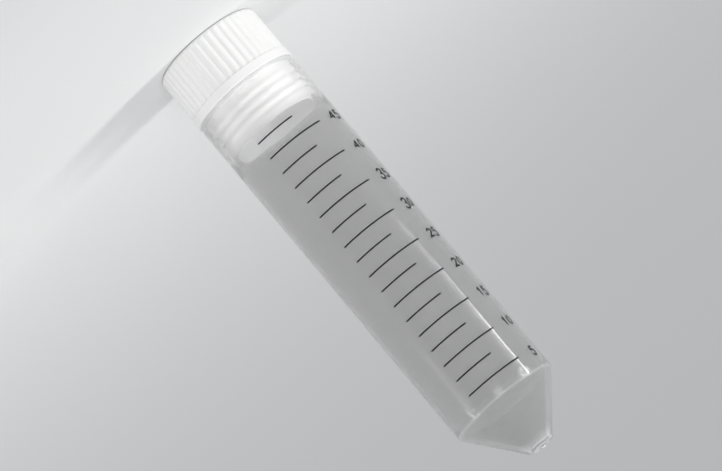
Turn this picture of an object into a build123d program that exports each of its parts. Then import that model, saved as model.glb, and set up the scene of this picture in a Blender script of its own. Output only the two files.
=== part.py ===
from build123d import *

import math
import os

# A 50 ml conical tube with an inside-threaded screw cap, standing on its cap.
# Millimetres. The origin is the centre of the cap's flat top, which is the foot here,
# and +Z runs along the axis towards the conical tip. The scale faces -Y.

# ---- barrel and cone ----
barrel_radius = 14.1  # outside of the straight barrel, and of the cap's ribs
barrel_wall = 1.02
barrel_length = 97.1  # mouth to the start of the cone
cone_height = 13.6
tip_radius = 3.25  # outside radius where the cone meets the flat tip
tip_round = 0.5
cone_wall = 1.5  # square to the cone's surface
floor_thickness = 1.1
gate_nub_radius = 0.55
gate_nub_height = 0.75
gate_nub_offset = 0.35  # the gate stands a little off the axis, towards the numbers

# ---- cap ----
band_height = 2.4  # smooth band at the cap's open edge
band_proud = 0.2  # band beyond the ribs' crests
rib_length = 12.95  # from the cap's flat top to the band
rib_count = 44
rib_relief = 0.42  # crest to groove
rib_round = 0.88  # radius of a rib's rounded back
cap_edge_round = 1.45  # between the flat top and the ribs
band_round = 0.25
cap_top_thickness = 1.6

# ---- plug and thread ----
plug_length = 11.6  # beyond the cap's open edge
plug_wall = 1.3
plug_end_round = 0.45
thread_pitch = 2.35
thread_height = 0.85  # on the plug, root to crest
thread_root_width = 1.45
thread_crest_width = 0.55
thread_turns = 3.5
thread_from_shoulder = 2.25  # cap's open edge to the middle of the first ridge
thread_start_angle = 109.0  # about +Z from +X
thread_embed = 0.15  # ridge sunk into the wall that carries it

# ---- sealing washer ----
washer_thickness = 0.9
washer_slope = 0.5  # the washer's outside leans in by this much towards the tube
washer_clearance = 0.15  # radial, around the plug's neck

# ---- tube mouth ----
mouth_round = 0.75
crest_clearance = 0.25  # plug's ridge to the neck's wall
root_clearance = 0.4  # neck's ridge to the plug's wall
neck_wall = 1.4
neck_length = 10.9  # thicker, threaded part of the mouth
neck_ramp = 1.8  # slope from the neck to the barrel's bore
neck_thread_turns = 3.0
neck_thread_from_mouth = 1.65
neck_thread_root_width = 1.2
neck_thread_crest_width = 0.5
mouth_chamfer = 0.3

# ---- printed scale ----
ink_thickness = 0.03
line_width = 0.38
line_start_angle = -23.4  # from the scale's middle, positive towards the numbers
short_line_end_angle = 20.3
long_line_end_angle = 40.7
line_count = 18
lines_per_number = 2  # the lowest line has a number, and so has every second one from it
millilitres_per_number = 5
line_pitch = 4.65  # 2.5 ml of this bore
lowest_line_height = 4.65  # the line nearest the cone, before the barrel's end
digit_width = 2.1
digit_height = 2.7
digit_stroke = 0.5
digit_gap = 0.4
number_start_angle = 56.5

# ---- places along the axis that follow from those ----
cap_height = rib_length + band_height
plug_end = cap_height + plug_length
mouth_z = cap_height + washer_thickness
cone_start = mouth_z + barrel_length
tip_z = cone_start + cone_height
bore_radius = barrel_radius - barrel_wall
rib_crest_radius = barrel_radius  # the closed tube is one smooth cylinder to the hand
band_radius = rib_crest_radius + band_proud
neck_radius = barrel_radius - neck_wall
thread_crest_radius = neck_radius - crest_clearance
plug_radius = thread_crest_radius - thread_height
neck_crest_radius = plug_radius + root_clearance
plug_bore_radius = plug_radius - plug_wall


def turned(profile):
    """A solid turned about the axis from a closed profile of (radius, z) edges."""
    return revolve(make_face(Plane.XZ * profile), Axis.Z)


def ring(outer, inner, z_low, z_high):
    """A plain ring about the axis."""
    low = Pos(0, 0, z_low)
    height = z_high - z_low
    aligned = (Align.CENTER, Align.CENTER, Align.MIN)
    return low * (Cylinder(outer, height, align=aligned) - Cylinder(inner, height, align=aligned))


def ridge(profile, turns, z_start, start_angle):
    """A right-hand helical ridge. The profile is a closed loop of (radius, rise) corners,
    carried round the axis by ruled faces between the helices of neighbouring corners."""
    helices = [
        Edge.make_helix(thread_pitch, thread_pitch * turns, radius, center=(0, 0, rise))
        for radius, rise in profile
    ]
    pairs = list(zip(helices, helices[1:] + helices[:1]))
    sides = [Face.make_surface_from_curves(one, other) for one, other in pairs]
    ends = [
        Face(Wire([Edge.make_line(one @ t, other @ t) for one, other in pairs]))
        for t in (0, 1)
    ]
    solid = Solid(Shell(sides + ends))
    return Pos(0, 0, z_start) * Rot(0, 0, start_angle) * solid


def ridge_profile(root_radius, crest_radius, root_width, crest_width):
    """Six corners: a root, rounded-off shoulders at four fifths of the height, and a crest."""
    height = crest_radius - root_radius
    shoulder_radius = root_radius + 0.8 * height
    shoulder_width = crest_width + 0.35 * (root_width - crest_width)
    half = [
        (root_radius, root_width / 2),
        (shoulder_radius, shoulder_width / 2),
        (crest_radius, crest_width / 2),
    ]
    return [(r, -w) for r, w in half] + [(r, w) for r, w in reversed(half)]


def plug_thread():
    """The ridge outside the plug."""
    profile = ridge_profile(
        plug_radius - thread_embed, thread_crest_radius, thread_root_width, thread_crest_width
    )
    return ridge(profile, thread_turns, cap_height + thread_from_shoulder, thread_start_angle)


def neck_thread():
    """The ridge inside the tube's mouth, midway between the turns of the plug's ridge."""
    start = mouth_z + neck_thread_from_mouth
    plug_start = cap_height + thread_from_shoulder
    turns_apart = (start - thread_pitch / 2 - plug_start) / thread_pitch
    profile = ridge_profile(
        neck_radius + thread_embed, neck_crest_radius, neck_thread_root_width, neck_thread_crest_width
    )
    return ridge(profile, neck_thread_turns, start, thread_start_angle + 360 * turns_apart)


def ribbed_grip():
    """The cap's grip: a prism with rounded ribs all round."""
    root = Circle(rib_crest_radius - rib_relief)
    ribs = PolarLocations(rib_crest_radius - rib_round, rib_count)
    section = root + [place * Circle(rib_round) for place in ribs]
    return extrude(section, rib_length)


def grip_envelope():
    """What the grip is trimmed to, so that its ribs fade into the rounded top edge."""
    blank = Cylinder(
        rib_crest_radius, rib_length, align=(Align.CENTER, Align.CENTER, Align.MIN)
    )
    return fillet(blank.edges().group_by(Axis.Z)[0], cap_edge_round)


def cap_band():
    """The smooth band at the cap's open edge."""
    blank = Pos(0, 0, rib_length) * Cylinder(
        band_radius, band_height, align=(Align.CENTER, Align.CENTER, Align.MIN)
    )
    return fillet(blank.edges().filter_by(GeomType.CIRCLE), band_round)


def plug():
    """The plug, rounded at its end, before its inside is hollowed."""
    blank = Pos(0, 0, cap_height) * Cylinder(
        plug_radius, plug_length, align=(Align.CENTER, Align.CENTER, Align.MIN)
    )
    return fillet(blank.edges().group_by(Axis.Z)[-1], plug_end_round)


def screw_cap():
    """Grip, band and hollow threaded plug, moulded in one piece."""
    head = (ribbed_grip() & grip_envelope()) + cap_band() + plug()
    hollow = Pos(0, 0, cap_top_thickness) * Cylinder(
        plug_bore_radius,
        plug_end - cap_top_thickness,
        align=(Align.CENTER, Align.CENTER, Align.MIN),
    )
    return head - hollow + plug_thread()


def seal_washer():
    """A flat ring on the cap's shoulder. Its outside leans in towards the tube's mouth."""
    inner = plug_radius + washer_clearance
    outer = band_radius - band_round
    top = cap_height + washer_thickness
    corners = [
        (inner, cap_height),
        (outer, cap_height),
        (outer - washer_slope, top),
        (inner, top),
    ]
    return turned(Polyline(*corners, close=True))


def tube_outside():
    """The tube's outer form, solid: rounded mouth, straight barrel, cone and flat tip."""
    corners = [
        (0, mouth_z),
        (barrel_radius, mouth_z),
        (barrel_radius, cone_start),
        (tip_radius, tip_z),
        (0, tip_z),
    ]
    blank = turned(Polyline(*corners, close=True))
    circles = blank.edges().filter_by(GeomType.CIRCLE).group_by(Axis.Z)
    blank = fillet(circles[0], mouth_round)
    tip_edges = blank.edges().filter_by(GeomType.CIRCLE).group_by(Axis.Z)[-1]
    return fillet(tip_edges, tip_round)


def tube_inside():
    """The space inside the tube: threaded neck, bore, cone and small flat floor."""
    slope = (barrel_radius - tip_radius) / cone_height
    wall_across = cone_wall * math.hypot(1, slope)
    floor_z = tip_z - floor_thickness
    floor_radius = tip_radius + slope * floor_thickness - wall_across
    bore_end = cone_start + (barrel_radius - wall_across - bore_radius) / slope
    neck_end = mouth_z + neck_length
    corners = [
        (0, mouth_z),
        (neck_radius + mouth_chamfer, mouth_z),
        (neck_radius, mouth_z + mouth_chamfer),
        (neck_radius, neck_end),
        (bore_radius, neck_end + neck_ramp),
        (bore_radius, bore_end),
        (floor_radius, floor_z),
        (0, floor_z),
    ]
    return turned(Polyline(*corners, close=True))


def gate_nub():
    """The moulding gate's stub on the tip."""
    height = gate_nub_height + tip_round
    blank = Pos(-gate_nub_offset, 0, tip_z - tip_round) * Cylinder(
        gate_nub_radius, height, align=(Align.CENTER, Align.CENTER, Align.MIN)
    )
    return fillet(blank.edges().group_by(Axis.Z)[-1], gate_nub_radius / 2)


def tube():
    """The tube, moulded in one piece."""
    return tube_outside() - tube_inside() + gate_nub() + neck_thread()


def line_z(index):
    """Place along the axis of a graduation line. Line 0 is the one nearest the cone."""
    return cone_start - lowest_line_height - index * line_pitch


def is_long(index):
    """A long line is one with a number."""
    return index % lines_per_number == 0


def number_text(index):
    """The millilitres that a long line marks."""
    return str(millilitres_per_number * (index // lines_per_number + 1))


def graduation_line(index):
    """One printed arc on the barrel, from its plain end to the end beside the numbers."""
    end_angle = long_line_end_angle if is_long(index) else short_line_end_angle
    section = Plane.XZ * Pos(barrel_radius + ink_thickness / 2, line_z(index)) * Rectangle(
        ink_thickness, line_width
    )
    arc = revolve(section, Axis.Z, end_angle - line_start_angle)
    return Rot(0, 0, -90 - end_angle) * arc


def at(x, y):
    """A point in a digit's cell, from fractions of the width and height of its stroke's middle."""
    half = digit_stroke / 2
    return (
        half + x * (digit_width - digit_stroke),
        half + y * (digit_height - digit_stroke),
    )


def straight(*points):
    """Straight strokes through points, with round joints."""
    corners = [at(*point) for point in points]
    strokes = [Line(one, other) for one, other in zip(corners, corners[1:])]
    joints = [Pos(*corner) * Circle(digit_stroke / 2) for corner in corners[1:-1]]
    return trace(strokes, digit_stroke) + joints


def curved(start, middle, end):
    """One stroke along an arc through three points."""
    return trace(ThreePointArc(at(*start), at(*middle), at(*end)), digit_stroke)


def digit_0():
    """An upright oval ring."""
    outer = Ellipse(digit_width / 2, digit_height / 2)
    inner = Ellipse(digit_width / 2 - digit_stroke, digit_height / 2 - digit_stroke)
    return Pos(digit_width / 2, digit_height / 2) * (outer - inner)


def digit_1():
    """A stem with a short flag."""
    return straight((0.2, 0.75), (0.6, 1), (0.6, 0))


def digit_2():
    """A round top, a slanted stroke and a foot."""
    return curved((0, 0.74), (0.52, 1), (0.95, 0.62)) + straight((0.95, 0.62), (0, 0), (1, 0))


def digit_3():
    """Two bowls that meet at the middle."""
    upper = curved((0.05, 0.86), (0.93, 0.76), (0.4, 0.53))
    lower = curved((0.4, 0.53), (1, 0.27), (0, 0.14))
    return upper + lower


def digit_4():
    """A slanted stroke, a crossbar and a stem."""
    return straight((0.72, 0), (0.72, 1)) + straight((0.72, 1), (0, 0.3), (1, 0.3))


def digit_5():
    """A top bar, a short stem and a bowl."""
    bowl = curved((0.08, 0.5), (1, 0.34), (0, 0.12))
    return straight((0.92, 1), (0.14, 1), (0.08, 0.5)) + bowl


digit_shapes = {
    "0": digit_0,
    "1": digit_1,
    "2": digit_2,
    "3": digit_3,
    "4": digit_4,
    "5": digit_5,
}


def digit_plane(angle, z):
    """Where a digit is drawn: upright with the cap uppermost, its normal out of the barrel."""
    turn = math.radians(angle)
    outward = Vector(-math.sin(turn), -math.cos(turn), 0)
    rightward = Vector(-math.cos(turn), math.sin(turn), 0)
    return Plane(origin=outward * (barrel_radius / 2) + Vector(0, 0, z), x_dir=rightward, z_dir=outward)


def printed_digit(digit, left_angle, z, skin):
    """One digit as ink on the barrel. left_angle is where its cell starts."""
    middle_angle = left_angle + math.degrees(digit_width / 2 / barrel_radius)
    shape = Pos(-digit_width / 2, -digit_height / 2) * digit_shapes[digit]()
    blank = extrude(digit_plane(middle_angle, z) * shape, barrel_radius)
    return (blank & skin).solids()


def printed_number(index):
    """A long line's number, level with the line."""
    z = line_z(index)
    skin = ring(barrel_radius + ink_thickness, barrel_radius, z - digit_height, z + digit_height)
    cell_angle = math.degrees((digit_width + digit_gap) / barrel_radius)
    text = number_text(index)
    first_angle = number_start_angle + cell_angle / 2 * (2 - len(text))
    solids = []
    for place, digit in enumerate(text):
        solids += printed_digit(digit, first_angle + place * cell_angle, z, skin)
    return solids


def graduation_lines():
    """All the printed lines, as separate solids."""
    return Compound(children=[graduation_line(index) for index in range(line_count)])


def graduation_numbers():
    """All the printed numbers, as separate solids."""
    numbered = [index for index in range(line_count) if is_long(index)]
    return Compound(children=[solid for index in numbered for solid in printed_number(index)])


def main():
    """Write each sub-part to its own file."""
    os.makedirs("parts", exist_ok=True)
    nodes = {
        "screw_cap": screw_cap,
        "seal_washer": seal_washer,
        "tube": tube,
        "graduation_lines": graduation_lines,
        "graduation_numbers": graduation_numbers,
    }
    for name, make in nodes.items():
        export_step(make(), f"parts/{name}.step")


main()
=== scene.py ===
import logging
import math
from dataclasses import dataclass, field
from enum import Enum

import bpy
import numpy as np
from mathutils import Matrix, Vector


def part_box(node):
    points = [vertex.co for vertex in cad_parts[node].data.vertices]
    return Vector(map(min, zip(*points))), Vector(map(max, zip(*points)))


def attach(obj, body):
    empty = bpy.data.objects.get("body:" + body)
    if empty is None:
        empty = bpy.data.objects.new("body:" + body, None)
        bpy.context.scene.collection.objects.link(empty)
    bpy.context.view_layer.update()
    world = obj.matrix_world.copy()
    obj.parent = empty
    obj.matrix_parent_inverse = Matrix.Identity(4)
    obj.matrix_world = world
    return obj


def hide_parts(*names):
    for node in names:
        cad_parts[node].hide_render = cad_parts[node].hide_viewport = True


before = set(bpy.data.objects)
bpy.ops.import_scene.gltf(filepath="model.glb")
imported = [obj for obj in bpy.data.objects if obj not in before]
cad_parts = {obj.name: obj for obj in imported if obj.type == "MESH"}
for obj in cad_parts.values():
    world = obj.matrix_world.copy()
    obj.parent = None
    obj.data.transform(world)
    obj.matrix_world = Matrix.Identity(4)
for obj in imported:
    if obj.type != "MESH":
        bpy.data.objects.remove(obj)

# A 50 ml conical tube that stands on its screw cap, tip up. Lengths are in metres.

LOG = logging.getLogger("conical_tube")
MM = 0.001
SUPPORT = 0.06 * MM  # a ring this close to each end of a straight run keeps flats flat
SAME_RADIUS = 1e-7  # radii closer than this are the same
HAIR = 1e-9  # slack for comparing heights and radii that were worked out twice
GRAIN_SCALE = 2500.0  # grains of moulded plastic for each metre
CLOUD_SCALE = 60.0  # its cloudy patches for each metre
POLISH_SCALE = 420.0  # its duller and shinier patches for each metre
NOISE_RANGE = (0.3, 0.7)  # nearly all values of a noise texture lie between these
EDGE_ON_BLEND = 0.25  # how soon a wall counts as seen edge on


class Body(Enum):
    """The record's bodies that pieces ride on."""

    CAP = "cap"
    WASHER = "washer"
    TUBE = "tube_body"


class Slot(Enum):
    """The record's material slots that the new pieces take."""

    CAP = "white_cap"
    SEAL = "seal_ring"
    TUBE = "natural_polypropylene"


# ---------------------------------------------------------------- outlines


@dataclass(frozen=True)
class Corner:
    """One corner of an outline that is turned about the axis.

    Attributes:
        r: Radius, in metres.
        z: Height, in metres.
        rounding: Radius of the arc that replaces the corner.
        spacing: Largest distance between rings on the straight run that follows.
        steps: Rings along the rounding arc.
    """

    r: float
    z: float
    rounding: float = 0.0
    spacing: float = 4.0 * MM
    steps: int = 7


def corner_arc(before: np.ndarray, corner: Corner, after: np.ndarray) -> np.ndarray:
    """Rounds one corner: an arc tangent to both runs, whose ends lie rounding / tan(half the
    inner angle) from the corner.

    Args:
        before: The outline's previous corner, as (r, z).
        corner: The corner to round.
        after: The next corner, as (r, z).

    Returns:
        Points of the arc in order, or the corner itself if it isn't rounded.
    """
    here = np.array([corner.r, corner.z])
    if corner.rounding <= 0:
        return here[None, :]
    back = (before - here) / np.linalg.norm(before - here)
    on = (after - here) / np.linalg.norm(after - here)
    half = math.acos(float(np.clip(back @ on, -1, 1))) / 2
    reach = corner.rounding / math.tan(half)
    inward = (back + on) / np.linalg.norm(back + on)
    centre = here + inward * corner.rounding / math.sin(half)
    start = here + back * reach - centre
    end = here + on * reach - centre
    turn = math.atan2(start[0] * end[1] - start[1] * end[0], float(start @ end))
    angles = np.linspace(0.0, turn, corner.steps + 1)
    cos, sin = np.cos(angles), np.sin(angles)
    x = start[0] * cos - start[1] * sin
    y = start[0] * sin + start[1] * cos
    return centre + np.stack([x, y], axis=1)


def straight_rings(start: np.ndarray, end: np.ndarray, spacing: float) -> np.ndarray:
    """Rings between two points of a run: even steps, with a support ring near each end.

    Args:
        start: First point, not repeated in the result.
        end: Last point, not repeated in the result.
        spacing: Largest distance between rings.

    Returns:
        The points in between, in order.
    """
    length = float(np.linalg.norm(end - start))
    if length < 3 * SUPPORT:
        return np.empty((0, 2))
    count = max(1, math.ceil(length / spacing))
    shares = np.linspace(0.0, 1.0, count + 1)[1:-1]
    support = SUPPORT / length
    shares = np.unique(np.concatenate([[support], shares, [1 - support]]))
    return start + shares[:, None] * (end - start)


def outline(corners: list[Corner], closed: bool = False) -> np.ndarray:
    """Samples an outline of rounded corners and straight runs.

    Args:
        corners: The corners in order.
        closed: True if the last corner joins the first.

    Returns:
        An array of (r, z) rings.
    """
    points = np.array([(c.r, c.z) for c in corners])
    arcs = []
    for index, corner in enumerate(corners):
        is_end = not closed and index in (0, len(corners) - 1)
        before, after = points[index - 1], points[(index + 1) % len(corners)]
        arcs.append(points[index][None, :] if is_end else corner_arc(before, corner, after))
    rings = []
    for index, arc in enumerate(arcs):
        rings.append(arc)
        if closed or index + 1 < len(arcs):
            following = arcs[(index + 1) % len(arcs)]
            rings.append(straight_rings(arc[-1], following[0], corners[index].spacing))
    return np.concatenate(rings)


# ---------------------------------------------------------------- meshes


def ring_quads(rings: int, sectors: int, closed: bool) -> np.ndarray:
    """Joins neighbouring rings of a grid by quads. The grid closes on itself round the axis.

    Args:
        rings: How many rings the grid has.
        sectors: How many points each ring has.
        closed: True to join the last ring to the first as well.

    Returns:
        The indices of each quad's four corners.
    """
    along = np.arange(rings if closed else rings - 1)[:, None]
    round_ = np.arange(sectors)[None, :]
    next_ring, next_sector = (along + 1) % rings, (round_ + 1) % sectors
    quads = [
        along * sectors + round_,
        along * sectors + next_sector,
        next_ring * sectors + next_sector,
        next_ring * sectors + round_,
    ]
    return np.stack(quads, axis=-1).reshape(-1, 4)


def signed_volume(points: np.ndarray, quads: np.ndarray) -> float:
    """Volume inside a closed mesh: a sixth of the sum of the triple products of each
    triangle's corners, with each quad cut into two triangles.

    Args:
        points: The mesh's vertices.
        quads: The indices of each face's four corners.

    Returns:
        The volume, negative if the faces point inwards.
    """
    a, b, c, d = (points[quads[:, k]] for k in range(4))
    return float((np.cross(a, b) * c).sum() + (np.cross(a, c) * d).sum()) / 6


def make_piece(name: str, points: np.ndarray, faces: list[list[int]]) -> bpy.types.Object:
    """Puts a mesh into the scene, smooth shaded, at the origin.

    Args:
        name: The piece's name.
        points: Vertices, in metres.
        faces: Vertex indices of each face.

    Returns:
        The new object.
    """
    mesh = bpy.data.meshes.new(name)
    mesh.from_pydata(points.tolist(), [], faces)
    mesh.polygons.foreach_set("use_smooth", np.ones(len(mesh.polygons), dtype=bool))
    mesh.update()
    piece = bpy.data.objects.new(name, mesh)
    bpy.context.scene.collection.objects.link(piece)
    return piece


def turned_piece(
    name: str, radius: np.ndarray, height: np.ndarray, closed: bool = False
) -> bpy.types.Object:
    """A closed surface about the axis: x = radius cos(angle), y = radius sin(angle), and
    z = height, with both given for each ring and sector.

    Args:
        name: The piece's name.
        radius: (rings, sectors) distances from the axis.
        height: (rings, sectors) heights.
        closed: True for a ring-shaped piece. Otherwise the first and last rings are drawn
            together into a pole.

    Returns:
        The new object, its faces outwards.
    """
    rings, sectors = radius.shape
    angle = sector_angles(sectors)
    grid = np.stack([radius * np.cos(angle), radius * np.sin(angle), height], axis=-1)
    if closed:
        points = grid.reshape(-1, 3)
        quads = ring_quads(rings, sectors, closed=True)
        faces = quads if signed_volume(points, quads) > 0 else quads[:, ::-1]
        return make_piece(name, points, faces.tolist())
    inner = grid[1:-1].reshape(-1, 3)
    poles = np.stack([grid[0].mean(axis=0), grid[-1].mean(axis=0)])
    points = np.concatenate([inner, poles])
    quads = ring_quads(rings - 2, sectors, closed=False)
    first = np.arange(sectors)
    second = (first + 1) % sectors
    last = (rings - 3) * sectors
    south, north = len(inner), len(inner) + 1
    lower = np.stack([np.full(sectors, south), second, first], axis=1)
    upper = np.stack([last + first, last + second, np.full(sectors, north)], axis=1)
    fans = np.concatenate([lower, upper])
    as_quads = np.concatenate([quads, np.concatenate([fans, fans[:, 2:]], axis=1)])
    if signed_volume(points, as_quads) < 0:
        quads, fans = quads[:, ::-1], fans[:, ::-1]
    return make_piece(name, points, quads.tolist() + fans.tolist())


def mark(piece: bpy.types.Object, name: str, values: np.ndarray) -> None:
    """Writes one number for each vertex, which a material reads by its name."""
    layer = piece.data.attributes.new(name, "FLOAT", "POINT")
    layer.data.foreach_set("value", values.astype(np.float32).ravel())


def sector_angles(sectors: int) -> np.ndarray:
    """Even angles about +Z from +X, one for each sector, as a row."""
    return np.linspace(0.0, 2 * math.pi, sectors, endpoint=False)[None, :]


def round_the_axis(rings: np.ndarray, sectors: int) -> tuple[np.ndarray, np.ndarray]:
    """Repeats each ring's radius and height for every sector, as two grids."""
    return np.repeat(rings[:, :1], sectors, axis=1), np.repeat(rings[:, 1:], sectors, axis=1)


def smooth_step(x: np.ndarray) -> np.ndarray:
    """Rises from 0 to 1 as x does, as 3 x squared less 2 x cubed, and is flat outside."""
    x = np.clip(x, 0.0, 1.0)
    return x * x * (3 - 2 * x)


@dataclass(frozen=True)
class ScrewThread:
    """A right-hand helical ridge, as a relief on a round wall.

    Attributes:
        pitch: Rise in one turn.
        turns: How many turns it makes.
        start_z: Height of its middle where it starts.
        start_angle: Angle where it starts, in degrees about +Z from +X.
        root_width: Its width at the wall.
        crest_width: Its width at the crest.
        height: Its height off the wall.
    """

    pitch: float
    turns: float
    start_z: float
    start_angle: float
    root_width: float
    crest_width: float
    height: float

    def relief(self, z: np.ndarray, angle: np.ndarray) -> np.ndarray:
        """The ridge's height at each point of a wall. The nearest turn's middle lies at
        start_z + pitch * t, where t is the turn's count at that angle. The section falls
        from crest to root on a smooth step of the distance from that middle, and the
        ridge dies away over a tenth of a turn at both ends.

        Args:
            z: Heights of the points.
            angle: Their angles about +Z, in radians.

        Returns:
            The height of the ridge there, off the wall.
        """
        share = ((angle - math.radians(self.start_angle)) / (2 * math.pi)) % 1.0
        turn = share + np.round((z - self.start_z) / self.pitch - share)
        away = np.abs(z - self.start_z - self.pitch * turn)
        flank = (self.root_width - self.crest_width) / 2
        section = smooth_step((self.root_width / 2 - away) / flank)
        run_out = 0.1
        ends = smooth_step(turn / run_out) * smooth_step((self.turns - turn) / run_out)
        return self.height * section * ends


# ---------------------------------------------------------------- finishes


def new_node(tree: bpy.types.NodeTree, kind: str, **inputs: object) -> bpy.types.Node:
    """Adds a node and sets its sockets.

    Args:
        tree: The tree that gets the node.
        kind: The node's type.
        inputs: A value for each socket, by its name with _ for a space.

    Returns:
        The new node.
    """
    node = tree.nodes.new(kind)
    for name, value in inputs.items():
        node.inputs[name.replace("_", " ")].default_value = value
    return node


def moulded_surface_group() -> bpy.types.NodeTree:
    """The shared texture of moulded plastic, built once: a fine grain, cloudy patches, and
    duller and shinier ones.

    Returns:
        A group whose Relief, Cloud and Polish outputs wander about one half.
    """
    name = "moulded_surface"
    if name in bpy.data.node_groups:
        return bpy.data.node_groups[name]
    tree = bpy.data.node_groups.new(name, "ShaderNodeTree")
    face = tree.interface
    face.new_socket("Position", in_out="INPUT", socket_type="NodeSocketVector")
    for socket, value in (("Grain Scale", GRAIN_SCALE), ("Cloud Scale", CLOUD_SCALE)):
        item = face.new_socket(socket, in_out="INPUT", socket_type="NodeSocketFloat")
        item.default_value = value
    for socket in ("Relief", "Cloud", "Polish"):
        face.new_socket(socket, in_out="OUTPUT", socket_type="NodeSocketFloat")
    link = tree.links.new
    inside = tree.nodes.new("NodeGroupInput")
    outside = tree.nodes.new("NodeGroupOutput")
    grain = new_node(tree, "ShaderNodeTexNoise", Detail=3.0, Roughness=0.55)
    cloud = new_node(tree, "ShaderNodeTexNoise", Detail=4.0, Roughness=0.5, Distortion=0.6)
    polish = new_node(
        tree, "ShaderNodeTexNoise", Scale=POLISH_SCALE, Detail=5.0, Roughness=0.65
    )
    link(inside.outputs["Position"], grain.inputs["Vector"])
    link(inside.outputs["Position"], cloud.inputs["Vector"])
    link(inside.outputs["Position"], polish.inputs["Vector"])
    link(inside.outputs["Grain Scale"], grain.inputs["Scale"])
    link(inside.outputs["Cloud Scale"], cloud.inputs["Scale"])
    link(grain.outputs["Fac"], outside.inputs["Relief"])
    link(cloud.outputs["Fac"], outside.inputs["Cloud"])
    link(polish.outputs["Fac"], outside.inputs["Polish"])
    return tree


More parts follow.
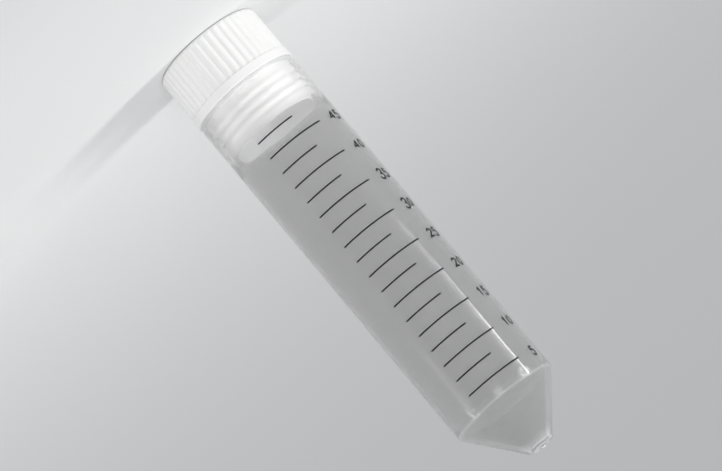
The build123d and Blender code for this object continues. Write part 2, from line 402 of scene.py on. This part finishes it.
@dataclass(frozen=True)
class MouldedPlastic:
    """A moulded plastic, opaque or letting light through.

    Attributes:
        name: The material's name.
        colour: Linear colour of its body.
        shade: Linear colour in the cloudier patches.
        roughness: Lowest and highest roughness over the surface.
        transmission: Share of the light that goes through each surface.
        ior: Index of refraction.
        specular: Strength of its mirror reflection, where one half is what its ior gives.
        grain: Height of the fine grain, in metres.
        cloud_scale: Cloudy patches for each metre.
        lamp_share: Share of a lamp's light that passes straight through.
        inside_roughness: What is added to the roughness where the "inside" mark is 1.
        tint: Linear colour where the piece's "tint" mark is 1; on the cap it is a painted
            shade.
        grazing_white: Share of that colour where the wall is seen edge on.
    """

    name: str
    colour: tuple[float, float, float]
    shade: tuple[float, float, float]
    roughness: tuple[float, float]
    transmission: float = 0.0
    ior: float = 1.49
    specular: float = 0.5
    grain: float = 0.004 * MM
    cloud_scale: float = CLOUD_SCALE
    lamp_share: float = 0.0
    inside_roughness: float = 0.0
    tint: tuple[float, float, float] | None = None
    grazing_white: float = 0.0

    def build(self) -> bpy.types.Material:
        """Makes the material: colour and roughness wander between their two values with
        the cloud and polish of the moulded surface, and its grain drives a bump.

        Returns:
            The new material.
        """
        material = bpy.data.materials.new(self.name)
        material.use_nodes = True
        tree = material.node_tree
        tree.nodes.clear()
        link = tree.links.new
        place = tree.nodes.new("ShaderNodeTexCoord")
        texture = tree.nodes.new("ShaderNodeGroup")
        texture.node_tree = moulded_surface_group()
        texture.inputs["Cloud Scale"].default_value = self.cloud_scale
        link(place.outputs["Object"], texture.inputs["Position"])
        colour = tree.nodes.new("ShaderNodeMix")
        colour.data_type = "RGBA"
        colour.inputs["A"].default_value = (*self.colour, 1)
        colour.inputs["B"].default_value = (*self.shade, 1)
        link(texture.outputs["Cloud"], colour.inputs["Factor"])
        rough = new_node(
            tree,
            "ShaderNodeMapRange",
            From_Min=NOISE_RANGE[0],
            From_Max=NOISE_RANGE[1],
            To_Min=self.roughness[0],
            To_Max=self.roughness[1],
        )
        link(texture.outputs["Polish"], rough.inputs["Value"])
        bump = new_node(tree, "ShaderNodeBump", Distance=self.grain, Strength=1.0)
        link(texture.outputs["Relief"], bump.inputs["Height"])
        shader = new_node(
            tree,
            "ShaderNodeBsdfPrincipled",
            IOR=self.ior,
            Specular_IOR_Level=self.specular,
            Transmission_Weight=self.transmission,
        )
        link(self.tinted(tree, colour.outputs["Result"]), shader.inputs["Base Color"])
        link(self.roughened(tree, rough.outputs["Result"]), shader.inputs["Roughness"])
        link(bump.outputs["Normal"], shader.inputs["Normal"])
        result = tree.nodes.new("ShaderNodeOutputMaterial")
        link(self.surface(tree, shader), result.inputs["Surface"])
        return material

    def tinted(
        self, tree: bpy.types.NodeTree, colour: bpy.types.NodeSocket
    ) -> bpy.types.NodeSocket:
        """Turns the colour to the tint where the piece's "tint" mark is 1, and towards it
        where the wall is seen edge on.

        Args:
            tree: The material's node tree.
            colour: The plain colour's socket.

        Returns:
            The socket of the colour to use.
        """
        if self.tint is None:
            return colour
        marked = tree.nodes.new("ShaderNodeAttribute")
        marked.attribute_name = "tint"
        facing = new_node(tree, "ShaderNodeLayerWeight", Blend=EDGE_ON_BLEND)
        more = tree.nodes.new("ShaderNodeMath")
        more.operation = "MULTIPLY_ADD"
        more.use_clamp = True
        more.inputs[1].default_value = self.grazing_white
        tree.links.new(facing.outputs["Facing"], more.inputs[0])
        tree.links.new(marked.outputs["Fac"], more.inputs[2])
        mix = tree.nodes.new("ShaderNodeMix")
        mix.data_type = "RGBA"
        mix.inputs["B"].default_value = (*self.tint, 1)
        tree.links.new(more.outputs[0], mix.inputs["Factor"])
        tree.links.new(colour, mix.inputs["A"])
        return mix.outputs["Result"]

    def roughened(
        self, tree: bpy.types.NodeTree, rough: bpy.types.NodeSocket
    ) -> bpy.types.NodeSocket:
        """Adds the inside's roughness, as many times over as the piece's "inside" mark says.

        Args:
            tree: The material's node tree.
            rough: The plain roughness's socket.

        Returns:
            The socket of the roughness to use.
        """
        if not self.inside_roughness:
            return rough
        inside = tree.nodes.new("ShaderNodeAttribute")
        inside.attribute_name = "inside"
        total = tree.nodes.new("ShaderNodeMath")
        total.operation = "MULTIPLY_ADD"
        total.inputs[1].default_value = self.inside_roughness
        tree.links.new(inside.outputs["Fac"], total.inputs[0])
        tree.links.new(rough, total.inputs[2])
        return total.outputs[0]

    def surface(
        self, tree: bpy.types.NodeTree, shader: bpy.types.Node
    ) -> bpy.types.NodeSocket:
        """Lets the lamps shine through: shadow rays alone meet a mix of shader and clear.

        Args:
            tree: The material's node tree.
            shader: The shader of all other rays.

        Returns:
            The socket for the material's surface.
        """
        if not self.lamp_share:
            return shader.outputs["BSDF"]
        rays = tree.nodes.new("ShaderNodeLightPath")
        share = tree.nodes.new("ShaderNodeMath")
        share.operation = "MULTIPLY"
        share.inputs[1].default_value = self.lamp_share
        clear = tree.nodes.new("ShaderNodeBsdfTransparent")
        mix = tree.nodes.new("ShaderNodeMixShader")
        tree.links.new(rays.outputs["Is Shadow Ray"], share.inputs[0])
        tree.links.new(share.outputs[0], mix.inputs[0])
        tree.links.new(shader.outputs["BSDF"], mix.inputs[1])
        tree.links.new(clear.outputs[0], mix.inputs[2])
        return mix.outputs[0]


# Its tint is a painted shade, greying the hollow inside the plug.
WHITE_CAP = MouldedPlastic(
    name="white_polypropylene",
    colour=(0.90, 0.90, 0.89),
    shade=(0.84, 0.84, 0.83),
    roughness=(0.30, 0.42),
    grain=0.006 * MM,
    tint=(0.86, 0.86, 0.86),
)
NATURAL_TUBE = MouldedPlastic(
    name="natural_polypropylene",
    colour=(0.67, 0.67, 0.67),
    shade=(0.63, 0.63, 0.63),
    roughness=(0.05, 0.09),
    transmission=0.86,
    grain=0.0,
    lamp_share=0.96,
    inside_roughness=0.04,
    tint=(1.0, 1.0, 1.0),
    grazing_white=0.25,
)
SILICONE_SEAL = MouldedPlastic(
    name="translucent_silicone",
    colour=(0.88, 0.88, 0.88),
    shade=(0.85, 0.85, 0.85),
    roughness=(0.34, 0.40),
    transmission=0.35,
    ior=1.41,
    grain=0.0,
    lamp_share=0.9,
)
BLACK_INK = MouldedPlastic(
    name="printed_ink",
    colour=(0.012, 0.012, 0.013),
    shade=(0.03, 0.03, 0.032),
    roughness=(0.45, 0.6),
    specular=0.15,
    grain=0.002 * MM,
    cloud_scale=900.0,
)


def dress(piece: bpy.types.Object, finish: bpy.types.Material) -> None:
    """Gives a piece one finish."""
    piece.data.materials.clear()
    piece.data.materials.append(finish)


# ---------------------------------------------------------------- the closure


@dataclass
class ScrewCap:
    """The white cap: ribbed grip, smooth band and hollow threaded plug, in one piece.

    Attributes:
        sectors: Points round the axis, eight for each rib.
        edge_round: Rounding of the edge it stands on.
        rib_length: Height of the ribbed grip.
        rib_count: How many ribs the grip has.
        rib_relief: Depth of the grooves between the ribs.
        rib_round: Radius of each rib's outer face.
        groove_blend: Softness of the corner between rib and groove.
        groove_run_out: Height over which the grooves grow shallow below the band.
        groove_rise: Share of their depth that they lose over it.
        band_proud: How far the band stands out past the ribs.
        band_round: Rounding of the band's edges.
        top_thickness: Thickness of the flat end.
        top_spacing: Distance between rings on the flat end.
        hollow_round: Rounding between the hollow's wall and its floor.
        plug_radius: Outer radius of the plug.
        plug_wall: Thickness of its wall.
        plug_end_wall: Thickness of its wall at the very end.
        plug_end_round: Rounding of the end's outer edge.
        plug_rim_round: Rounding of the end's inner edge.
        plug_taper: Length over which the wall thins towards the end.
        thread_height: Height of the ridge on the plug.
        thread_pitch: Rise of the ridge in one turn.
        thread_turns: How many turns it makes.
        thread_offset: From the shoulder to the middle of its start.
        thread_angle: Where it starts, in degrees about +Z from +X.
        thread_root: Its width at the wall.
        thread_crest: Its width at the crest.
        ring_spacing: Distance between rings on the threaded wall.
        shoulder_z: Height of the shoulder that faces the tube.
        plug_end_z: Height of the plug's end.
        band_radius: Radius of the band.
    """

    sectors: int = 352
    edge_round: float = 1.45 * MM
    rib_length: float = 12.95 * MM
    rib_count: int = 44
    rib_relief: float = 0.42 * MM
    rib_round: float = 0.88 * MM
    groove_blend: float = 0.05 * MM
    groove_run_out: float = 0.6 * MM
    groove_rise: float = 0.5
    band_proud: float = 0.2 * MM
    band_round: float = 0.25 * MM
    top_thickness: float = 1.6 * MM
    top_spacing: float = 1.5 * MM
    hollow_round: float = 0.6 * MM
    plug_radius: float = 11.6 * MM
    plug_wall: float = 1.3 * MM
    plug_end_wall: float = 0.5 * MM
    plug_end_round: float = 0.25 * MM
    plug_rim_round: float = 0.2 * MM
    plug_taper: float = 6.0 * MM
    thread_height: float = 0.22 * MM
    thread_pitch: float = 2.35 * MM
    thread_turns: float = 3.5
    thread_offset: float = 2.25 * MM
    thread_angle: float = 109.0
    thread_root: float = 2.3 * MM
    thread_crest: float = 0.1 * MM
    ring_spacing: float = 0.11 * MM
    shoulder_z: float = field(init=False)
    plug_end_z: float = field(init=False)
    band_radius: float = field(init=False)

    def __post_init__(self) -> None:
        """Takes the cap's outer sizes from the frame."""
        self.shoulder_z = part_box("seal_washer")[0].z
        self.plug_end_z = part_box("screw_cap")[1].z
        self.band_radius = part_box("screw_cap")[1].x

    def thread(self) -> ScrewThread:
        """The ridge on the plug.

        Returns:
            The ridge, which also sets the pitch and place of the one in the neck.
        """
        return ScrewThread(
            pitch=self.thread_pitch,
            turns=self.thread_turns,
            start_z=self.shoulder_z + self.thread_offset,
            start_angle=self.thread_angle,
            root_width=self.thread_root,
            crest_width=self.thread_crest,
            height=self.thread_height,
        )

    def corners(self) -> list[Corner]:
        """The outline of the cap without ribs and thread.

        Returns:
            Its corners, from the middle of the flat end round to the middle of the hollow.
        """
        crest = self.band_radius - self.band_proud
        bore = self.plug_radius - self.plug_wall
        return [
            Corner(0, 0),
            Corner(crest, 0, self.edge_round, spacing=self.top_spacing, steps=14),
            Corner(crest, self.rib_length),
            Corner(self.band_radius, self.rib_length, self.band_round),
            Corner(self.band_radius, self.shoulder_z, self.band_round),
            Corner(self.plug_radius, self.shoulder_z, spacing=self.ring_spacing),
            Corner(self.plug_radius, self.plug_end_z, self.plug_end_round),
            Corner(self.plug_radius - self.plug_end_wall, self.plug_end_z, self.plug_rim_round),
            Corner(bore, self.plug_end_z - self.plug_taper, self.plug_taper),
            Corner(bore, self.top_thickness, self.hollow_round),
            Corner(0, self.top_thickness),
        ]

    def rib_radius(self, angle: np.ndarray) -> np.ndarray:
        """The grip's radius at each angle: the far side of a circle of the rib's rounding,
        centred on the nearest rib, joined to the groove's floor by a smooth maximum.

        Args:
            angle: Angles about +Z, in radians.

        Returns:
            The radius at each of them.
        """
        crest = self.band_radius - self.band_proud
        centre = crest - self.rib_round
        pitch = 2 * math.pi / self.rib_count
        off = (angle + pitch / 2) % pitch - pitch / 2
        inside = np.maximum(self.rib_round**2 - (centre * np.sin(off)) ** 2, 0.0)
        rib = centre * np.cos(off) + np.sqrt(inside)
        groove = crest - self.rib_relief
        blend = self.groove_blend
        return (rib + groove + np.sqrt((rib - groove) ** 2 + blend**2)) / 2

    def build(self) -> bpy.types.Object:
        """Builds the cap: the grip is the lesser of the outline and the ribs, with each
        groove rising to the band over its run-out, and the plug's wall carries the thread.
        The hollow is marked for the tint, a painted shade that greys it.

        Returns:
            The cap.
        """
        rings = outline(self.corners())
        angle = sector_angles(self.sectors)
        radius, height = round_the_axis(rings, self.sectors)
        crest = self.band_radius - self.band_proud
        rising = smooth_step((height - self.rib_length) / self.groove_run_out + 1)
        ribs = self.rib_radius(angle)
        ribs = ribs + (crest - ribs) * rising * self.groove_rise
        on_grip = (height <= self.rib_length + HAIR) & (radius <= crest + HAIR)
        radius = np.where(on_grip, np.minimum(radius, ribs), radius)
        on_plug = np.isclose(radius, self.plug_radius, atol=SAME_RADIUS)
        on_plug &= height > self.shoulder_z
        radius = radius + on_plug * self.thread().relief(height, angle)
        piece = turned_piece("screw_cap_moulding", radius, height)
        # Painted shade: the hollow's inner wall and floor take the greyer tint.
        hollow = np.arange(1, len(rings) - 1) > np.argmax(rings[:, 1])
        mark(piece, "tint", np.concatenate([np.repeat(hollow, self.sectors), [0.0, 1.0]]))
        dress(piece, WHITE_CAP.build())
        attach(piece, Body.CAP.value)
        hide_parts("screw_cap")
        return piece


@dataclass
class SealWasher:
    """The translucent ring between the cap's band and the tube's mouth.

    Attributes:
        sectors: Points round the axis.
        clearance: Gap between the plug and the ring.
        slope: How far its outside leans in towards the tube.
        edge_round: Rounding of its edges.
    """

    sectors: int = 256
    clearance: float = 0.15 * MM
    slope: float = 0.5 * MM
    edge_round: float = 0.12 * MM

    def build(self, plug_radius: float) -> bpy.types.Object:
        """Turns the ring's four-cornered section about the axis.

        Args:
            plug_radius: Outer radius of the plug that it lies round.

        Returns:
            The washer.
        """
        low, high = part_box("seal_washer")
        inner = plug_radius + self.clearance
        corners = [
            Corner(inner, low.z, self.edge_round),
            Corner(high.x, low.z, self.edge_round),
            Corner(high.x - self.slope, high.z, self.edge_round),
            Corner(inner, high.z, self.edge_round),
        ]
        rings = outline(corners, closed=True)
        radius, height = round_the_axis(rings, self.sectors)
        piece = turned_piece("seal_washer_ring", radius, height, closed=True)
        dress(piece, SILICONE_SEAL.build())
        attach(piece, Body.WASHER.value)
        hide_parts("seal_washer")
        return piece


# ---------------------------------------------------------------- the tube


@dataclass
class ConicalTube:
    """The tube: threaded neck, straight barrel, cone and flat tip with its gate nub.

    Attributes:
        sectors: Points round the axis.
        wall: Thickness of the barrel's wall.
        cone_height: From the barrel's end to the flat tip.
        tip_radius: Outer radius of the flat tip.
        tip_round: Rounding of the tip's edge.
        tip_spacing: Distance between rings on the tip.
        cone_wall: Thickness of the cone's wall.
        floor_thickness: Thickness of the tip.
        floor_round: Rounding between the cone's inner wall and its floor.
        nub_radius: Radius of the gate's stub.
        nub_height: Its height above the tip.
        nub_offset: Its distance from the axis.
        nub_edge: Width of its sloping side.
        mouth_round: Rounding of the mouth's outer edge.
        mouth_chamfer: Width of the slope at the mouth's inner edge.
        chamfer_round: Rounding of that slope's corners.
        neck_wall: Thickness of the neck's wall.
        neck_length: Length of the neck.
        neck_ramp: Length of the slope from neck to bore.
        ramp_round: Rounding of that slope's ends.
        ridge_height: Height of the ridge in the neck.
        ridge_turns: How many turns it makes.
        ridge_offset: From the mouth to the middle of its start.
        ridge_root: Its width at the wall.
        ridge_crest: Its width at the crest.
        edge_round: Rounding of the edge between barrel and cone.
        edge_zone: Reach of the close rings at that edge.
        edge_spacing: Distance between those rings.
        blend_start: Where the bore starts to lean in, before the cone.
        blend_lean: How much it leans, in degrees.
        blend_round: Rounding where it starts.
        blend_end_round: Rounding where it meets the cone's inner wall.
        neck_white: Whiteness of the neck's wall.
        white_past_neck: How far past the neck that ends.
        white_fade: Length over which it fades before that.
        edge_painted_highlight: Whiteness of a thin line at the edge between barrel and cone, a
            painted highlight.
        edge_spread: Half width of that.
        tip_white: Whiteness of the tip.
        tip_white_reach: Depth under the tip where that starts.
        tip_white_fade: Length over which it grows.
        neck_dullness: Extra dullness of the neck's inner wall.
        cone_dullness: Extra dullness of the cone's inner wall.
        cone_dull_fade: Length over which that grows.
        ring_spacing: Distance between rings on the threaded wall.
        mouth_z: Height of the mouth.
        barrel_radius: Outer radius of the barrel.
        tip_z: Height of the flat tip.
        neck_end: Height where the neck ends.
        cone_start: Height where the cone starts.
    """

    sectors: int = 256
    wall: float = 1.02 * MM
    cone_height: float = 13.6 * MM
    tip_radius: float = 3.25 * MM
    tip_round: float = 0.5 * MM
    tip_spacing: float = 0.08 * MM
    cone_wall: float = 1.5 * MM
    floor_thickness: float = 1.1 * MM
    floor_round: float = 1.2 * MM
    nub_radius: float = 0.55 * MM
    nub_height: float = 0.75 * MM
    nub_offset: float = 0.35 * MM
    nub_edge: float = 0.25 * MM
    mouth_round: float = 0.75 * MM
    mouth_chamfer: float = 0.3 * MM
    chamfer_round: float = 0.1 * MM
    neck_wall: float = 1.4 * MM
    neck_length: float = 10.9 * MM
    neck_ramp: float = 4.0 * MM
    ramp_round: float = 12.0 * MM
    ridge_height: float = 0.1 * MM
    ridge_turns: float = 3.0
    ridge_offset: float = 1.65 * MM
    ridge_root: float = 2.2 * MM
    ridge_crest: float = 0.1 * MM
    edge_round: float = 0.2 * MM
    edge_zone: float = 0.8 * MM
    edge_spacing: float = 0.12 * MM
    blend_start: float = 2.5 * MM
    blend_lean: float = 16.0
    blend_round: float = 12.0 * MM
    blend_end_round: float = 1.0 * MM
    neck_white: float = 0.6
    white_past_neck: float = 1.0 * MM
    white_fade: float = 2.0 * MM
    edge_painted_highlight: float = 0.8
    edge_spread: float = 0.3 * MM
    tip_white: float = 1.0
    tip_white_reach: float = 1.6 * MM
    tip_white_fade: float = 0.6 * MM
    neck_dullness: float = 11.0
    cone_dullness: float = 1.0
    cone_dull_fade: float = 0.4 * MM
    ring_spacing: float = 0.11 * MM
    mouth_z: float = field(init=False)
    barrel_radius: float = field(init=False)
    tip_z: float = field(init=False)
    neck_end: float = field(init=False)
    cone_start: float = field(init=False)

    def __post_init__(self) -> None:
        """Takes the tube's outer sizes from the frame."""
        low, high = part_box("tube")
        self.mouth_z = low.z
        self.barrel_radius = high.x
        self.tip_z = high.z - self.nub_height
        self.neck_end = self.mouth_z + self.neck_length
        self.cone_start = self.tip_z - self.cone_height

    def thread(self, plug: ScrewThread) -> ScrewThread:
        """The ridge inside the neck, midway between the turns of the plug's ridge.

        Args:
            plug: The ridge on the plug.

        Returns:
            The ridge in the neck.
        """
        start = self.mouth_z + self.ridge_offset
        turns_apart = (start - plug.pitch / 2 - plug.start_z) / plug.pitch
        return ScrewThread(
            pitch=plug.pitch,
            turns=self.ridge_turns,
            start_z=start,
            start_angle=plug.start_angle + 360 * turns_apart,
            root_width=self.ridge_root,
            crest_width=self.ridge_crest,
            height=self.ridge_height,
        )

    def corners(self) -> list[Corner]:
        """The outline of the tube without ridge and nub. The bore leans in on a straight
        run until it meets the cone's inner wall, which is parallel to the outer one.

        Returns:
            Its corners, from the middle of the tip, outside to the mouth and back inside.
        """
        slope = (self.barrel_radius - self.tip_radius) / self.cone_height
        wall_across = self.cone_wall * math.hypot(1, slope)
        bore = self.barrel_radius - self.wall
        neck = self.barrel_radius - self.neck_wall
        chamfer, zone = self.mouth_chamfer, self.edge_zone
        floor_z = self.tip_z - self.floor_thickness
        floor_radius = self.tip_radius + slope * self.floor_thickness - wall_across
        lean = math.tan(math.radians(self.blend_lean))
        short = self.barrel_radius - wall_across - bore + lean * self.blend_start
        blend_end = short / (slope - lean)
        blend_radius = bore - lean * (blend_end + self.blend_start)
        return [
            Corner(0, self.tip_z, spacing=self.tip_spacing),
            Corner(self.tip_radius, self.tip_z, self.tip_round, steps=12),
            Corner(
                self.barrel_radius - slope * zone,
                self.cone_start + zone,
                spacing=self.edge_spacing,
            ),
            Corner(
                self.barrel_radius, self.cone_start, self.edge_round, spacing=self.edge_spacing
            ),
            Corner(self.barrel_radius, self.cone_start - zone),
            Corner(self.barrel_radius, self.mouth_z, self.mouth_round, steps=12),
            Corner(neck + chamfer, self.mouth_z, self.chamfer_round),
            Corner(
                neck, self.mouth_z + chamfer, self.chamfer_round, spacing=self.ring_spacing
            ),
            Corner(neck, self.neck_end, self.ramp_round),
            Corner(bore, self.neck_end + self.neck_ramp, self.ramp_round),
            Corner(bore, self.cone_start - self.blend_start, self.blend_round, steps=24),
            Corner(blend_radius, self.cone_start + blend_end, self.blend_end_round),
            Corner(floor_radius, floor_z, self.floor_round, steps=10),
            Corner(0, floor_z),
        ]

    def thickness_and_painted_highlight(self, z: np.ndarray, inside: np.ndarray) -> np.ndarray:
        """Where the wall looks whiter: the thick neck and tip, and a painted highlight, a
        bell-shaped peak at the outer edge between barrel and cone.

        Args:
            z: Heights of the points.
            inside: True for each point of the inner wall.

        Returns:
            0 for the plain wall to 1 for the whitest.
        """
        white_end = self.neck_end + self.white_past_neck
        neck = self.neck_white * smooth_step((white_end - z) / self.white_fade)
        # Painted highlight: a thin white line on the outer wall at the edge before the cone.
        edge = self.edge_painted_highlight * np.exp(-(((z - self.cone_start) / self.edge_spread) ** 2))
        edge = np.where(inside, 0.0, edge)
        depth = self.tip_z - z
        tip = smooth_step((self.tip_white_reach - depth) / self.tip_white_fade)
        return np.maximum.reduce([neck, edge, self.tip_white * tip])

    def dullness(self, z: np.ndarray, inside: np.ndarray) -> np.ndarray:
        """How many times over the wall has its finish's extra roughness of the inside.

        Args:
            z: Heights of the points.
            inside: True for each point of the inner wall.

        Returns:
            0 outside, 1 in the bore, and more in the neck and the cone.
        """
        in_neck = z < self.neck_end
        in_cone = smooth_step((z - self.cone_start) / self.cone_dull_fade + 0.5)
        return inside * (1 + self.neck_dullness * in_neck + self.cone_dullness * in_cone)

    def nub(self, radius: np.ndarray, angle: np.ndarray) -> np.ndarray:
        """Height of the gate's stub above the flat tip: a round step about its own centre,
        which is off the axis towards -X.

        Args:
            radius: Distances of the points from the tube's axis.
            angle: Their angles about +Z, in radians.

        Returns:
            The height at each point.
        """
        x = radius * np.cos(angle) + self.nub_offset
        y = radius * np.sin(angle)
        away = np.hypot(x, y)
        return self.nub_height * smooth_step((self.nub_radius - away) / self.nub_edge)

    def build(self, plug: ScrewThread) -> bpy.types.Object:
        """Builds the tube as one closed wall, with the thread as a relief inwards.

        Args:
            plug: The ridge on the plug, which the neck's ridge fits between.

        Returns:
            The tube.
        """
        rings = outline(self.corners())
        angle = sector_angles(self.sectors)
        radius, height = round_the_axis(rings, self.sectors)
        neck = self.barrel_radius - self.neck_wall
        in_neck = np.isclose(radius, neck, atol=SAME_RADIUS)
        relief = self.thread(plug).relief(height, angle)
        on_tip = height > self.tip_z - HAIR
        height = height + on_tip * self.nub(radius, angle)
        radius = radius - in_neck * relief
        piece = turned_piece("tube_moulding", radius, height)
        mouth = int(np.argmin(rings[:, 1]))
        z = rings[1:-1, 1]
        inside = np.arange(1, len(rings) - 1) > mouth
        dull = np.repeat(self.dullness(z, inside), self.sectors)
        mark(piece, "inside", np.concatenate([dull, [0.0, 1.0]]))
        # Whiter thick walls, plus the painted highlight line at the edge before the cone.
        thick_and_highlight = np.repeat(self.thickness_and_painted_highlight(z, inside), self.sectors)
        mark(piece, "tint", np.concatenate([thick_and_highlight, [self.tip_white] * 2]))
        dress(piece, NATURAL_TUBE.build())
        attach(piece, Body.TUBE.value)
        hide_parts("tube")
        return piece


@dataclass
class PrintedScale:
    """The black graduation lines and numbers on the barrel.

    Attributes:
        nodes: The CAD nodes of the print.
    """

    nodes: tuple[str, ...] = ("graduation_lines", "graduation_numbers")

    def build(self) -> None:
        """Gives the printed nodes their ink."""
        ink = BLACK_INK.build()
        for name in self.nodes:
            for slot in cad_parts[name].material_slots:
                slot.material = ink


# ---------------------------------------------------------------- studio


@dataclass(frozen=True)
class SoftBox:
    """A square or oblong soft lamp that faces a point of the object.

    Attributes:
        name: The lamp's name.
        place: Where it stands, in metres.
        aim: The point it faces.
        size: Its width and height, in metres.
        power: Its power, in watts.
        spread: Full angle of its beam, in degrees.
    """

    name: str
    place: tuple[float, float, float]
    aim: tuple[float, float, float]
    size: tuple[float, float]
    power: float
    spread: float = 180.0

    def build(self) -> None:
        """Hangs the lamp."""
        data = bpy.data.lights.new(self.name, "AREA")
        data.shape = "RECTANGLE"
        data.size, data.size_y = self.size
        data.energy = self.power
        data.spread = math.radians(self.spread)
        lamp = bpy.data.objects.new(self.name, data)
        lamp.location = self.place
        lamp.visible_camera = False
        facing = Vector(self.aim) - Vector(self.place)
        lamp.rotation_mode = "QUATERNION"
        lamp.rotation_quaternion = facing.to_track_quat("-Z", "Y")
        bpy.context.scene.collection.objects.link(lamp)


UPPER_AIM = (0.0, 0.0, 0.10)
MIDDLE_AIM = (0.0, 0.0, 0.06)
LAMPS = (
    # The bright streak beside the numbers, and its fading end.
    SoftBox("strip", (-0.350, -0.090, 0.050), UPPER_AIM, (0.022, 0.032), 0.0024, 60.0),
    SoftBox("strip_fade", (-0.350, -0.090, 0.024), UPPER_AIM, (0.022, 0.020), 0.0005, 60.0),
    # The soft band that the streak lies in.
    SoftBox("low_side", (-0.33, -0.13, 0.10), UPPER_AIM, (0.12, 0.22), 0.042),
    SoftBox("low_core", (-0.335, -0.118, 0.07), UPPER_AIM, (0.05, 0.14), 0.026),
    # From each side: the bright patches before the cone, and light on the neck and the cap.
    SoftBox("high_side", (-0.335, -0.115, 0.28), UPPER_AIM, (0.05, 0.18), 0.19, 90.0),
    SoftBox("far_side", (0.335, -0.17, 0.26), UPPER_AIM, (0.012, 0.28), 0.09, 90.0),
    # Broad light on the side with the scale.
    SoftBox("high_key", (-0.11, -1.35, 0.95), MIDDLE_AIM, (0.45, 0.5), 0.46, 60.0),
    SoftBox("key", (-0.13, -1.8, 0.42), MIDDLE_AIM, (0.7, 0.7), 0.28, 60.0),
)


@dataclass
class Studio:
    """Pale floor, soft lamps and the camera.

    Attributes:
        lamps: The soft lamps.
        floor_radius: Radius of the floor.
        floor_sectors: Sides of its rim.
        floor_colour: Its linear colour.
        floor_roughness: Its roughness.
        floor_specular: Strength of its mirror reflection.
        sky_colour: Linear colour of the surround.
        sky_strength: Strength of the surround.
        camera_distance: From the camera to the point that it looks at.
        camera_elevation: How far it looks down, in degrees.
        camera_roll: How far it is rolled, in degrees.
        camera_aim: The point that it looks at.
        lens: Its focal length, in mm.
        sensor_width: The width of its sensor, in mm.
        clip: The nearest and farthest distances that it sees.
    """

    lamps: tuple[SoftBox, ...] = LAMPS
    floor_radius: float = 8.0
    floor_sectors: int = 96
    floor_colour: tuple[float, float, float] = (0.86, 0.86, 0.862)
    floor_roughness: float = 0.85
    floor_specular: float = 0.2
    sky_colour: tuple[float, float, float] = (0.98, 0.99, 1.0)
    sky_strength: float = 0.54
    camera_distance: float = 1.5
    camera_elevation: float = 11.0
    camera_roll: float = 50.056
    camera_aim: tuple[float, float, float] = (0.79 * MM, 0.0, 60.0 * MM)
    lens: float = 313.4
    sensor_width: float = 36.0
    clip: tuple[float, float] = (0.05, 50.0)

    def floor(self) -> None:
        """A wide pale disc under the cap."""
        material = bpy.data.materials.new("studio_floor")
        material.use_nodes = True
        tree = material.node_tree
        shader = tree.nodes["Principled BSDF"]
        shader.inputs["Base Color"].default_value = (*self.floor_colour, 1)
        shader.inputs["Roughness"].default_value = self.floor_roughness
        shader.inputs["Specular IOR Level"].default_value = self.floor_specular
        angle = sector_angles(self.floor_sectors)[0]
        rim = self.floor_radius * np.stack([np.cos(angle), np.sin(angle), 0 * angle], axis=1)
        floor = make_piece("studio_floor", rim, [list(range(self.floor_sectors))])
        dress(floor, material)

    def sky(self) -> None:
        """An even pale surround."""
        world = bpy.data.worlds.new("studio_surround")
        bpy.context.scene.world = world
        world.use_nodes = True
        background = world.node_tree.nodes["Background"]
        background.inputs["Color"].default_value = (*self.sky_colour, 1)
        background.inputs["Strength"].default_value = self.sky_strength

    def camera(self) -> None:
        """Looks at the scale from a little above, rolled so that the tube slants."""
        tilt, roll = math.radians(self.camera_elevation), math.radians(self.camera_roll)
        right = Vector((1, 0, 0))
        up = Vector((0, math.sin(tilt), math.cos(tilt)))
        back = Vector((0, -math.cos(tilt), math.sin(tilt)))
        across = math.cos(roll) * up - math.sin(roll) * right
        above = -math.sin(roll) * up - math.cos(roll) * right
        place = Vector(self.camera_aim) + back * self.camera_distance
        data = bpy.data.cameras.new("camera")
        data.lens = self.lens
        data.sensor_width = self.sensor_width
        data.clip_start, data.clip_end = self.clip
        camera = bpy.data.objects.new("camera", data)
        turn = Matrix((across, above, back)).transposed().to_4x4()
        camera.matrix_world = Matrix.Translation(place) @ turn
        bpy.context.scene.collection.objects.link(camera)
        bpy.context.scene.camera = camera

    def build(self) -> None:
        """Sets up everything that isn't the object."""
        bpy.context.scene.view_settings.view_transform = "Standard"
        self.floor()
        self.sky()
        for lamp in self.lamps:
            lamp.build()
        self.camera()


def main() -> None:
    """Builds the tube, piece by piece, and the studio round it."""
    logging.basicConfig(level=logging.INFO, format="%(name)s: %(message)s")
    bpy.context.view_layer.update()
    cap = ScrewCap()
    made = [cap.build(), SealWasher().build(cap.plug_radius), ConicalTube().build(cap.thread())]
    for piece in made:
        LOG.info("%s: %d faces", piece.name, len(piece.data.polygons))
    PrintedScale().build()
    Studio().build()


if __name__ == "__main__":
    main()
